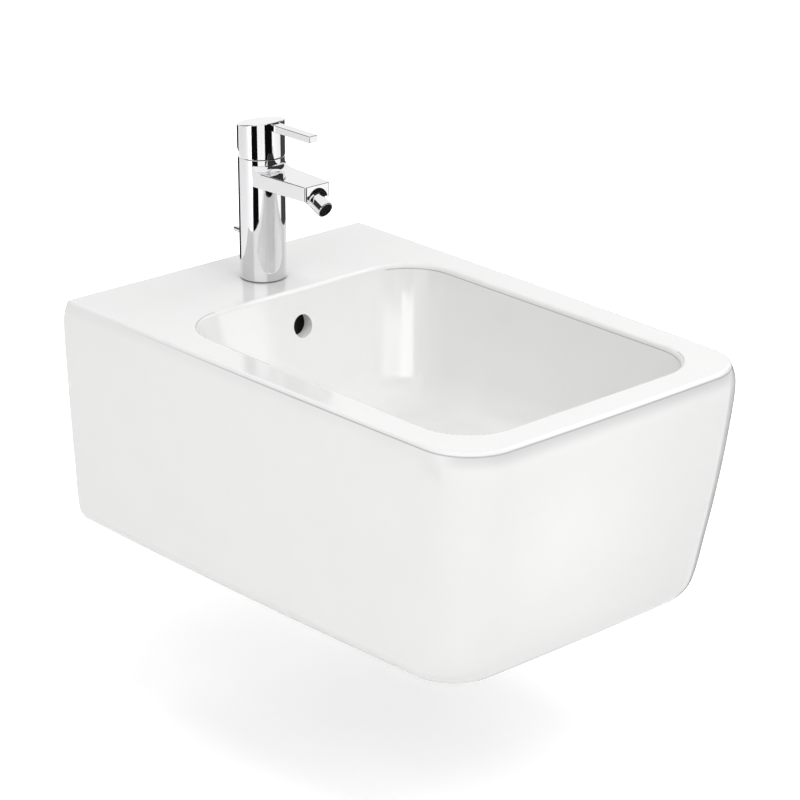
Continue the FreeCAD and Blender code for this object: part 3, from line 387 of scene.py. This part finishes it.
# Thread on the tap's stud, from its end up to the nut
stud_low, stud_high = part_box("tap_stud")
nut_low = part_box("tap_nut")[0]
stud_pitch = 0.001
stud_ridge = 0.0003
stud_end = 0.001            # plain end of the stud
stud_thread = nut_low.z - stud_low.z - 2 * stud_end
grown("stud_thread", thread_tree(), {
    "Radius": (stud_high.x - stud_low.x) / 2 - stud_ridge / 2, "Length": stud_thread,
    "Turns": stud_thread / stud_pitch, "Ridge": stud_ridge,
    "Foot": ((stud_low.x + stud_high.x) / 2, (stud_low.y + stud_high.y) / 2, stud_low.z + stud_end)},
    "fixed", "steel")

# Grip ribs round the clamp screw's head
head_low, head_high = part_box("clamp_screw")
head_radius = (head_high.z - head_low.z) / 2
head_depth = 0.0025
rib_count = 28
rib_radius = 0.00035
rib_sink = 0.0002           # of a rib's middle inside the head
rib_share = 0.8             # of the head's depth
grown("clamp_grip", grip_tree(), {
    "Radius": head_radius - rib_sink, "Length": head_depth * rib_share, "Count": rib_count, "Rib": rib_radius,
    "Middle": (head_high.x - head_depth / 2, (head_low.y + head_high.y) / 2, (head_low.z + head_high.z) / 2),
    "Turn": (0.0, math.pi / 2, 0.0)},
    "lift", "steel")


def studio_piece(name, corners, faces, material):
    """A piece of the studio, not of the object."""
    mesh = bpy.data.meshes.new(name)
    mesh.from_pydata(corners, [], faces)
    mesh.materials.append(material)
    piece = bpy.data.objects.new(name, mesh)
    bpy.context.scene.collection.objects.link(piece)
    return piece


def floor_finish():
    """A matt pale floor that the camera and reflections see a little brighter than it is lit."""
    material = bpy.data.materials.new("pale floor")
    material.use_nodes = True
    tree = material.node_tree
    nodes, link = tree.nodes, tree.links.new
    shader = nodes["Principled BSDF"]
    shader.inputs["Base Color"].default_value = (0.92, 0.92, 0.92, 1)
    shader.inputs["Roughness"].default_value = 0.9
    shader.inputs["Specular IOR Level"].default_value = 0.0
    shader.inputs["Emission Color"].default_value = white
    place = nodes.new("ShaderNodeTexCoord")
    away = nodes.new("ShaderNodeVectorMath")
    away.operation = "DISTANCE"
    away.inputs[1].default_value = (object_middle.x, object_middle.y, floor_z)
    spread = nodes.new("ShaderNodeMapRange")
    spread.interpolation_type = "SMOOTHSTEP"
    spread.inputs["From Min"].default_value = shadow_reach
    spread.inputs["From Max"].default_value = white_reach
    spread.inputs["To Min"].default_value = floor_lift
    spread.inputs["To Max"].default_value = 1.0
    link(place.outputs["Object"], away.inputs[0])
    link(away.outputs["Value"], spread.inputs["Value"])
    path = nodes.new("ShaderNodeLightPath").outputs
    mirrored = math_node(tree, "MAXIMUM", path["Is Glossy Ray"], path["Is Transmission Ray"])
    mirror = math_node(tree, "MULTIPLY", mirrored, mirror_lift)
    lift = math_node(tree, "MULTIPLY_ADD", path["Is Camera Ray"], spread.outputs["Result"], mirror)
    link(lift, shader.inputs["Emission Strength"])
    return material


def even(level):
    """The stops of a card that shines alike all over."""
    return [(0.0, level), (1.0, level)]


def card_finish(name, stops, heights=(-1.0, 1.0), adds=False):
    """A card that shines by height. One that adds is clear, and any other has only a front."""
    material = bpy.data.materials.new(name)
    material.use_nodes = True
    nodes, link = material.node_tree.nodes, material.node_tree.links.new
    nodes.clear()
    place = nodes.new("ShaderNodeTexCoord")
    split = nodes.new("ShaderNodeSeparateXYZ")
    spread = nodes.new("ShaderNodeMapRange")
    spread.inputs["From Min"].default_value = heights[0]
    spread.inputs["From Max"].default_value = heights[1]
    ramp = nodes.new("ShaderNodeValToRGB")
    ramp.color_ramp.interpolation = "EASE"
    for stop, (at, level) in enumerate(stops):
        point = ramp.color_ramp.elements[stop] if stop < 2 else ramp.color_ramp.elements.new(at)
        point.position = at
        point.color = (level, level, level, 1)
    glow = nodes.new("ShaderNodeEmission")
    clear = nodes.new("ShaderNodeBsdfTransparent")
    out = nodes.new("ShaderNodeOutputMaterial")
    link(place.outputs["Object"], split.inputs[0])
    link(split.outputs["Z"], spread.inputs["Value"])
    link(spread.outputs["Result"], ramp.inputs["Fac"])
    link(ramp.outputs["Color"], glow.inputs["Color"])
    if adds:
        both = nodes.new("ShaderNodeAddShader")
        link(glow.outputs[0], both.inputs[0])
        link(clear.outputs[0], both.inputs[1])
        link(both.outputs[0], out.inputs["Surface"])
    else:
        side = nodes.new("ShaderNodeNewGeometry")
        front = nodes.new("ShaderNodeMixShader")
        link(side.outputs["Backfacing"], front.inputs["Fac"])
        link(glow.outputs[0], front.inputs[1])
        link(clear.outputs[0], front.inputs[2])
        link(front.outputs[0], out.inputs["Surface"])
    return material


def reflections_only(piece):
    """Hides a card from everything but reflections."""
    piece.visible_camera = False
    piece.visible_diffuse = False
    piece.visible_transmission = False
    piece.visible_shadow = False
    return piece


def flag(name, angles, distance, low, high, material):
    """A standing card between two plan angles, in degrees, as seen from the tap's axis."""
    feet = [(tap_axis.x + distance * math.cos(math.radians(angle)),
             tap_axis.y + distance * math.sin(math.radians(angle))) for angle in angles]
    corners = [(*feet[0], low), (*feet[1], low), (*feet[1], high), (*feet[0], high)]
    return reflections_only(studio_piece(name, corners, [(3, 2, 1, 0)], material))


def canopy(name, turns, rises, material, radius=canopy_radius, across=32, upward=12):
    """Part of a dome over the object, between two plan angles and two angles of rise, in degrees."""
    corners = []
    for j in range(upward + 1):
        rise = math.radians(rises[0] + (rises[1] - rises[0]) * j / upward)
        for i in range(across + 1):
            turn = math.radians(turns[0] + (turns[1] - turns[0]) * i / across)
            ray = Vector((math.cos(turn) * math.cos(rise), math.sin(turn) * math.cos(rise), math.sin(rise)))
            corners.append(object_middle + radius * ray)
    row = across + 1
    faces = [(row * j + i + 1, row * j + i, row * (j + 1) + i, row * (j + 1) + i + 1)
             for j in range(upward) for i in range(across)]
    return reflections_only(studio_piece(name, corners, faces, material))


def floor_card(name, plan, material):
    """A card on the floor, seen only in reflections."""
    corners = [(x, y, floor_z + card_gap) for x, y in plan]
    return reflections_only(studio_piece(name, corners, [(0, 1, 2, 3)], material))


# Floor, and the cards that the chrome and the bowl's lip reflect
half = floor_size / 2
studio_piece("floor", [(-half, -half, floor_z), (half, -half, floor_z), (half, half, floor_z),
                       (-half, half, floor_z)], [(0, 1, 2, 3)], floor_finish())
dark_rises = (-4, 50)       # degrees of rise, where the dark surround fades out and where it ends
dark_heights = [canopy_radius * math.sin(math.radians(rise)) for rise in dark_rises]
black_level, dark_level, grey_level, lip_level = 0.004, 0.04, 0.06, 2.2
dark_from = 0.29            # share of its height from which the surround is fully dark
lip_card_radius = canopy_radius - 0.2   # before the dark surround
black = card_finish("black card", even(black_level))
fading = card_finish("dark surround", [(0.0, 1.0), (1.0, dark_level), (dark_from, dark_level)], dark_heights)
grey = card_finish("grey card", even(grey_level))
lip_light = card_finish("lip light", even(lip_level), adds=True)
flag("left_flag", angles=(185, 214), distance=0.8, low=-0.19, high=0.12, material=black)
flag("front_flag", angles=(248, 283), distance=0.25, low=0.105, high=0.2, material=black)
flag("rear_flag", angles=(58, 98), distance=0.30, low=-0.25, high=0.16, material=black)
canopy("front_surround", turns=(-100, 8), rises=dark_rises, material=fading)
canopy("left_surround", turns=(104, 180), rises=dark_rises, material=fading)
canopy("rear_surround", turns=(10, 85), rises=(-12, -1), material=grey)
lip_card = canopy("lip_card", turns=(-45, 25), rises=(30, 55), material=lip_light, radius=lip_card_radius)
floor_card("rear_floor_card", plan=[(0.33, -0.42), (2.2, -0.9), (2.9, 1.2), (0.5, 2.6)], material=grey)


def world_light():
    """Even light, with a white background for the camera, for reflections and through glass."""
    world = bpy.data.worlds.new("studio")
    world.use_nodes = True
    bpy.context.scene.world = world
    tree = world.node_tree
    nodes, link = tree.nodes, tree.links.new
    nodes.clear()
    mix = nodes.new("ShaderNodeMixShader")
    out = nodes.new("ShaderNodeOutputWorld")
    for slot, strength in ((1, ambient_level), (2, background_white)):
        glow = nodes.new("ShaderNodeBackground")
        glow.inputs["Color"].default_value = white
        glow.inputs["Strength"].default_value = strength
        link(glow.outputs[0], mix.inputs[slot])
    path = nodes.new("ShaderNodeLightPath").outputs
    mirrored = math_node(tree, "MAXIMUM", path["Is Glossy Ray"], path["Is Transmission Ray"])
    link(math_node(tree, "MAXIMUM", path["Is Camera Ray"], mirrored), mix.inputs["Fac"])
    link(mix.outputs[0], out.inputs["Surface"])


def hung(lamp, place, target):
    """A lamp hung at a place and turned to a target, without a reflection of its own."""
    holder = bpy.data.objects.new(lamp.name, lamp)
    holder.location = place
    holder.rotation_euler = (Vector(target) - Vector(place)).to_track_quat("-Z", "Y").to_euler()
    holder.visible_glossy = False
    bpy.context.scene.collection.objects.link(holder)
    return holder


def softbox(name, place, watts, target=object_middle, width=1.4, height=1.4):
    """A lamp with a wide soft front."""
    lamp = bpy.data.lights.new(name, "AREA")
    lamp.shape = "RECTANGLE"
    lamp.size, lamp.size_y, lamp.energy = width, height, watts
    return hung(lamp, place, target)


def basin_lamp(name, angles, distance, low, high, level):
    """A standing lamp in front of the basin's rear right corner, which only shows as a reflection."""
    turn, half_angle = math.radians(sum(angles) / 2), math.radians(angles[1] - angles[0]) / 2
    width, height = 2 * distance * math.sin(half_angle), high - low
    target = Vector((basin_corner.x, basin_corner.y, (low + high) / 2))
    reach = distance * math.cos(half_angle)
    place = target + reach * Vector((math.cos(turn), math.sin(turn), 0))
    holder = softbox(name, place, watts_per_level * level * width * height, target, width, height)
    holder.visible_glossy = True
    holder.visible_diffuse = False
    holder.visible_camera = False
    return holder


def spot(name, place, target, degrees, watts):
    """A lamp with a soft round patch of light."""
    lamp = bpy.data.lights.new(name, "SPOT")
    lamp.spot_size, lamp.spot_blend = math.radians(degrees), 1.0
    lamp.shadow_soft_size, lamp.energy = 0.1, watts
    return hung(lamp, place, target)


def camera():
    """A camera on the photograph's line of sight, with its lens."""
    right = Vector((math.cos(view_azimuth), math.sin(view_azimuth), 0))
    back = Vector((math.sin(view_azimuth) * math.cos(view_elevation),
                   -math.cos(view_azimuth) * math.cos(view_elevation), math.sin(view_elevation)))
    up = back.cross(right)
    place = Vector((0, 0, rim_z)) + right * view_across + up * view_up + back * view_distance
    lens = bpy.data.cameras.new("camera")
    lens.sensor_width = sensor_mm
    lens.lens = sensor_mm * focal_pixels / image_size
    lens.clip_end = far_clip
    holder = bpy.data.objects.new("camera", lens)
    turn = Matrix((right, up, back)).transposed().to_4x4()
    holder.matrix_world = Matrix.Translation(place) @ turn
    bpy.context.scene.collection.objects.link(holder)
    bpy.context.scene.camera = holder


# Studio light
world_light()
softbox("front_low", (0.3, -2.1, 1.3), watts=12)
spot("front_spot", (0.25, -1.75, 0.05), target=(-0.055, -0.53, -0.02), degrees=13, watts=11.5)
softbox("front_high", (0.0, -1.4, 2.0), watts=10)
softbox("left_high", (-1.6, -0.8, 1.6), watts=10.6)
softbox("left_low", (-2.2, -0.3, -0.1), watts=8, width=1.2, height=0.4)
softbox("right_high", (1.6, -0.6, 1.6), watts=8.2)
softbox("rear_high", (0.0, 1.4, 1.8), watts=9.4)

# Lights that only the glaze reflects
basin_strip = basin_lamp("basin_strip", angles=(214, 242), distance=0.2, low=-0.05, high=0.115, level=2.9)
basin_panel = basin_lamp("basin_panel", angles=(242, 282), distance=0.2, low=-0.05, high=0.085, level=1.6)
glaze_only = bpy.data.collections.new("glaze_only")
glaze_only.objects.link(frame["nodes"]["ceramic_body"])
for source in (lip_card, basin_strip, basin_panel):
    source.light_linking.receiver_collection = glaze_only

camera()
bpy.context.scene.view_settings.view_transform = "Standard"
